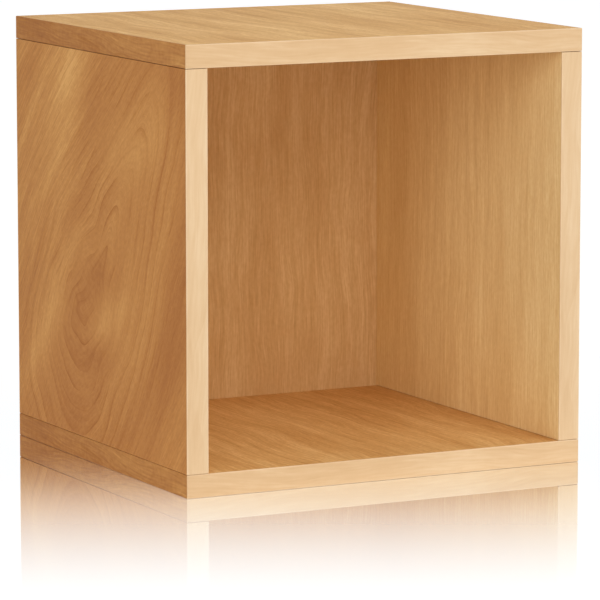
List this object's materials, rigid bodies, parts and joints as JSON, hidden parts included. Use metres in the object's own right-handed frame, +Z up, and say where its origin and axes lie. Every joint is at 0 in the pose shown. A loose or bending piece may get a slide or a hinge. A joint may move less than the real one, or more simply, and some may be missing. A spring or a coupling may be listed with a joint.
{
  "type": "storage cube",
  "caption": "Open-fronted cube of wood-grain boards with pale banded edges, a grooved back and hidden dowelled corners, for standing record sleeves upright.",
  "frame": {"origin": "middle of the footprint, on the surface that the cube stands on", "axes": "+Z up, the open front faces -Y, +X to the right seen from the front"},
  "size_m": [0.381, 0.35, 0.381],
  "materials": {
    "level_board": "satin wood-grain laminate on particle board, straight grain from front to back",
    "side_board": "satin wood-grain laminate on particle board, slanting flat-sawn figure",
    "back_board": "satin wood-grain laminate on thin fibreboard",
    "edge_band": "satin pale wood-grain edge band",
    "end_band": "satin brown wood-grain edge band",
    "dowel": "bare fluted beech",
    "adhesive": "translucent acrylic foam tape"
  },
  "bodies": {
    "root": {"top_panel": "level_board", "bottom_panel": "level_board", "left_side_panel": "side_board", "right_side_panel": "side_board", "back_panel": "back_board", "top_front_edge_band": "edge_band", "bottom_front_edge_band": "edge_band", "left_front_edge_band": "edge_band", "right_front_edge_band": "edge_band", "top_rear_edge_band": "edge_band", "bottom_rear_edge_band": "edge_band", "left_rear_edge_band": "edge_band", "right_rear_edge_band": "edge_band", "top_left_end_band": "end_band", "top_right_end_band": "end_band", "bottom_left_end_band": "end_band", "bottom_right_end_band": "end_band", "top_left_dowels": "dowel", "top_right_dowels": "dowel", "bottom_left_dowels": "dowel", "bottom_right_dowels": "dowel", "top_left_adhesive_strips": "adhesive", "top_right_adhesive_strips": "adhesive", "bottom_left_adhesive_strips": "adhesive", "bottom_right_adhesive_strips": "adhesive"}
  },
  "joints": []
}
